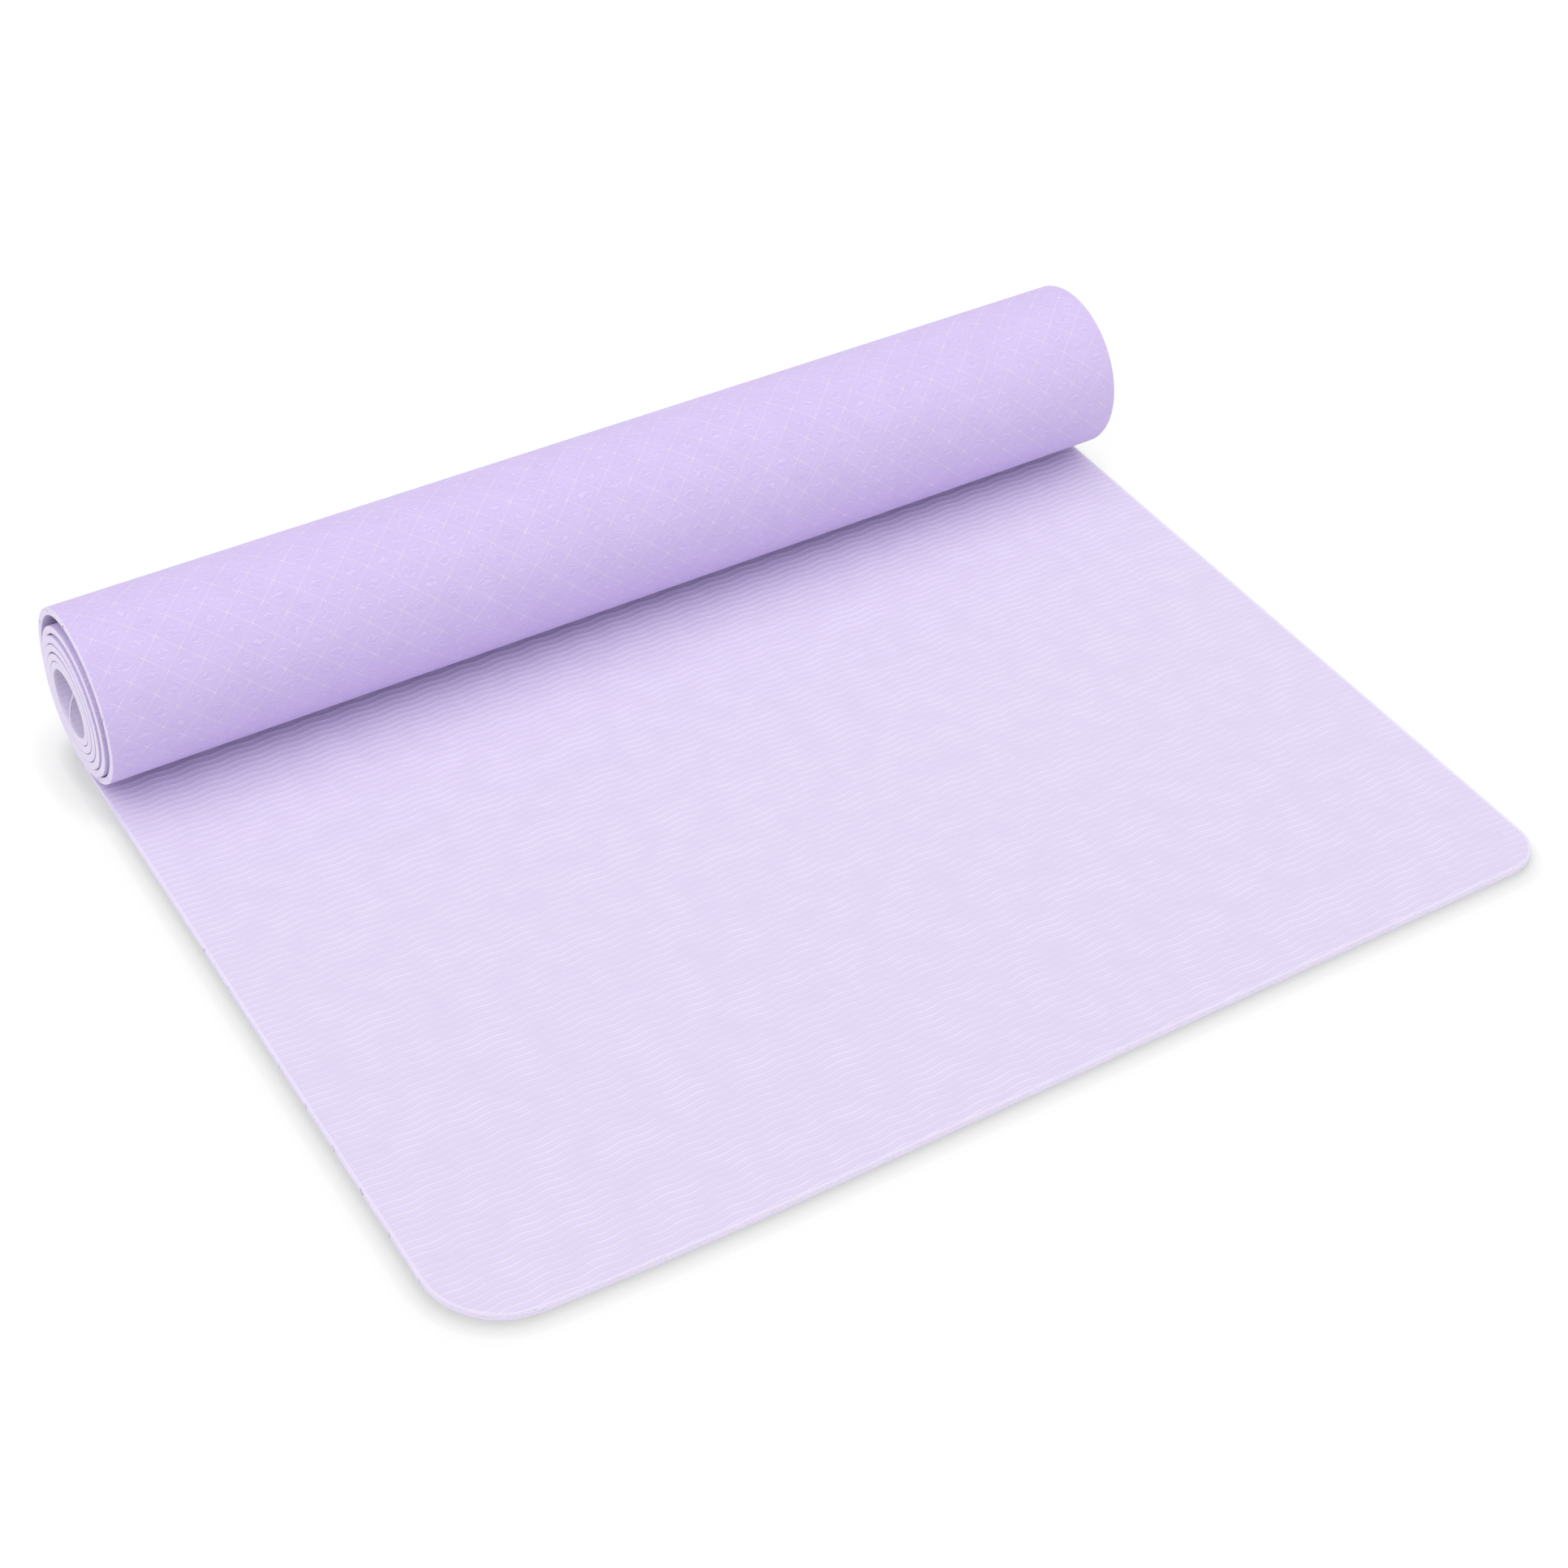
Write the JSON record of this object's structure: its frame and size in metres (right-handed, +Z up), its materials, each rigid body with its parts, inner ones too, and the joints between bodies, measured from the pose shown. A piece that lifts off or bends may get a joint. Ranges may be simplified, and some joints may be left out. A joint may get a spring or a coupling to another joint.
{
  "type": "yoga mat",
  "caption": "Foam yoga mat, partly unrolled: flat ribbed stretch in front, the rest wound into a loose roll with a quilted outer face.",
  "frame": {"origin": "on the floor, under the middle of the whole object", "axes": "+X across the mat, +Y from the front edge towards the roll, +Z up from the floor"},
  "size_m": [0.61, 0.472, 0.0994],
  "materials": {
    "foam": "matt closed-cell foam, ribbed on the upper face and quilted on the under face"
  },
  "bodies": {
    "floor_strip": {"floor_strip": "foam"},
    "outer_turn_span_01": {"outer_turn_span_01": "foam"},
    "outer_turn_span_02": {"outer_turn_span_02": "foam"},
    "outer_turn_span_03": {"outer_turn_span_03": "foam"},
    "outer_turn_span_04": {"outer_turn_span_04": "foam"},
    "outer_turn_span_05": {"outer_turn_span_05": "foam"},
    "outer_turn_span_06": {"outer_turn_span_06": "foam"},
    "outer_turn_span_07": {"outer_turn_span_07": "foam"},
    "outer_turn_span_08": {"outer_turn_span_08": "foam"},
    "outer_turn_span_09": {"outer_turn_span_09": "foam"},
    "outer_turn_span_10": {"outer_turn_span_10": "foam"},
    "outer_turn_span_11": {"outer_turn_span_11": "foam"},
    "outer_turn_span_12": {"outer_turn_span_12": "foam"},
    "inner_coil": {"inner_coil": "foam"},
    "front_span_01": {"front_span_01": "foam"},
    "front_span_02": {"front_span_02": "foam"},
    "front_span_03": {"front_span_03": "foam"},
    "front_span_04": {"front_span_04": "foam"},
    "front_span_05": {"front_span_05": "foam"},
    "front_span_06": {"front_span_06": "foam"},
    "front_span_07": {"front_span_07": "foam"},
    "front_span_08": {"front_span_08": "foam"},
    "front_span_09": {"front_span_09": "foam"},
    "front_edge_span": {"front_edge_span": "foam"}
  },
  "joints": [
    {"name": "unroll", "type": "hinge", "parent": "floor_strip", "child": "outer_turn_span_01", "pos_m": [0, 0.20349, 0.00197], "axis": [-1, 0, 0], "range_deg": [0, 31.84]},
    {"name": "unroll_02", "type": "hinge", "parent": "outer_turn_span_01", "child": "outer_turn_span_02", "pos_m": [0, 0.22436, 0.01493], "axis": [-1, 0, 0], "range_deg": [0, 31.8]},
    {"name": "unroll_03", "type": "hinge", "parent": "outer_turn_span_02", "child": "outer_turn_span_03", "pos_m": [0, 0.23529, 0.03699], "axis": [-1, 0, 0], "range_deg": [0, 29.02]},
    {"name": "unroll_04", "type": "hinge", "parent": "outer_turn_span_03", "child": "outer_turn_span_04", "pos_m": [0, 0.23414, 0.06155], "axis": [-1, 0, 0], "range_deg": [0, 25.69]},
    {"name": "unroll_05", "type": "hinge", "parent": "outer_turn_span_04", "child": "outer_turn_span_05", "pos_m": [0, 0.22215, 0.08377], "axis": [-1, 0, 0], "range_deg": [0, 29.7]},
    {"name": "unroll_06", "type": "hinge", "parent": "outer_turn_span_05", "child": "outer_turn_span_06", "pos_m": [0, 0.19973, 0.09774], "axis": [-1, 0, 0], "range_deg": [0, 33.47]},
    {"name": "unroll_07", "type": "hinge", "parent": "outer_turn_span_06", "child": "outer_turn_span_07", "pos_m": [0, 0.17261, 0.09702], "axis": [-1, 0, 0], "range_deg": [0, 33.81]},
    {"name": "unroll_08", "type": "hinge", "parent": "outer_turn_span_07", "child": "outer_turn_span_08", "pos_m": [0, 0.15055, 0.08138], "axis": [-1, 0, 0], "range_deg": [0, 33.2]},
    {"name": "unroll_09", "type": "hinge", "parent": "outer_turn_span_08", "child": "outer_turn_span_09", "pos_m": [0, 0.14097, 0.05704], "axis": [-1, 0, 0], "range_deg": [0, 31.72]},
    {"name": "unroll_10", "type": "hinge", "parent": "outer_turn_span_09", "child": "outer_turn_span_10", "pos_m": [0, 0.14537, 0.0327], "axis": [-1, 0, 0], "range_deg": [0, 29.1]},
    {"name": "unroll_11", "type": "hinge", "parent": "outer_turn_span_10", "child": "outer_turn_span_11", "pos_m": [0, 0.16005, 0.0148], "axis": [-1, 0, 0], "range_deg": [0, 25.43]},
    {"name": "unroll_12", "type": "hinge", "parent": "outer_turn_span_11", "child": "outer_turn_span_12", "pos_m": [0, 0.18009, 0.00535], "axis": [-1, 0, 0], "range_deg": [0, 27.06]},
    {"name": "unroll_coil", "type": "hinge", "parent": "outer_turn_span_12", "child": "inner_coil", "pos_m": [0, 0.20216, 0.00606], "axis": [-1, 0, 0], "range_deg": [0, 29.77]},
    {"name": "front_curl", "type": "hinge", "parent": "floor_strip", "child": "front_span_01", "pos_m": [0, 0.05402, 0.0038], "axis": [-1, 0, 0], "range_deg": [0, 12]},
    {"name": "front_curl_02", "type": "hinge", "parent": "front_span_01", "child": "front_span_02", "pos_m": [0, 0.02502, 0.0038], "axis": [-1, 0, 0], "range_deg": [0, 12]},
    {"name": "front_curl_03", "type": "hinge", "parent": "front_span_02", "child": "front_span_03", "pos_m": [0, -0.00398, 0.0038], "axis": [-1, 0, 0], "range_deg": [0, 12]},
    {"name": "front_curl_04", "type": "hinge", "parent": "front_span_03", "child": "front_span_04", "pos_m": [0, -0.03297, 0.0038], "axis": [-1, 0, 0], "range_deg": [0, 12]},
    {"name": "front_curl_05", "type": "hinge", "parent": "front_span_04", "child": "front_span_05", "pos_m": [0, -0.06198, 0.0038], "axis": [-1, 0, 0], "range_deg": [0, 12]},
    {"name": "front_curl_06", "type": "hinge", "parent": "front_span_05", "child": "front_span_06", "pos_m": [0, -0.09098, 0.0038], "axis": [-1, 0, 0], "range_deg": [0, 12]},
    {"name": "front_curl_07", "type": "hinge", "parent": "front_span_06", "child": "front_span_07", "pos_m": [0, -0.11997, 0.0038], "axis": [-1, 0, 0], "range_deg": [0, 12]},
    {"name": "front_curl_08", "type": "hinge", "parent": "front_span_07", "child": "front_span_08", "pos_m": [0, -0.14897, 0.0038], "axis": [-1, 0, 0], "range_deg": [0, 12]},
    {"name": "front_curl_09", "type": "hinge", "parent": "front_span_08", "child": "front_span_09", "pos_m": [0, -0.17797, 0.0038], "axis": [-1, 0, 0], "range_deg": [0, 12]},
    {"name": "front_curl_10", "type": "hinge", "parent": "front_span_09", "child": "front_edge_span", "pos_m": [0, -0.20697, 0.0038], "axis": [-1, 0, 0], "range_deg": [0, 12]}
  ],
  "couplings": [
    {"joint": "unroll_02", "follows": "unroll", "ratio": 0.99869},
    {"joint": "unroll_03", "follows": "unroll", "ratio": 0.91145},
    {"joint": "unroll_04", "follows": "unroll", "ratio": 0.80681},
    {"joint": "unroll_05", "follows": "unroll", "ratio": 0.93275},
    {"joint": "unroll_06", "follows": "unroll", "ratio": 1.0511},
    {"joint": "unroll_07", "follows": "unroll", "ratio": 1.0616},
    {"joint": "unroll_08", "follows": "unroll", "ratio": 1.0424},
    {"joint": "unroll_09", "follows": "unroll", "ratio": 0.99597},
    {"joint": "unroll_10", "follows": "unroll", "ratio": 0.91373},
    {"joint": "unroll_11", "follows": "unroll", "ratio": 0.79865},
    {"joint": "unroll_12", "follows": "unroll", "ratio": 0.84981},
    {"joint": "unroll_coil", "follows": "unroll", "ratio": 0.93484},
    {"joint": "front_curl_02", "follows": "front_curl", "ratio": 1},
    {"joint": "front_curl_03", "follows": "front_curl", "ratio": 1},
    {"joint": "front_curl_04", "follows": "front_curl", "ratio": 1},
    {"joint": "front_curl_05", "follows": "front_curl", "ratio": 1},
    {"joint": "front_curl_06", "follows": "front_curl", "ratio": 1},
    {"joint": "front_curl_07", "follows": "front_curl", "ratio": 1},
    {"joint": "front_curl_08", "follows": "front_curl", "ratio": 1},
    {"joint": "front_curl_09", "follows": "front_curl", "ratio": 1},
    {"joint": "front_curl_10", "follows": "front_curl", "ratio": 1}
  ]
}
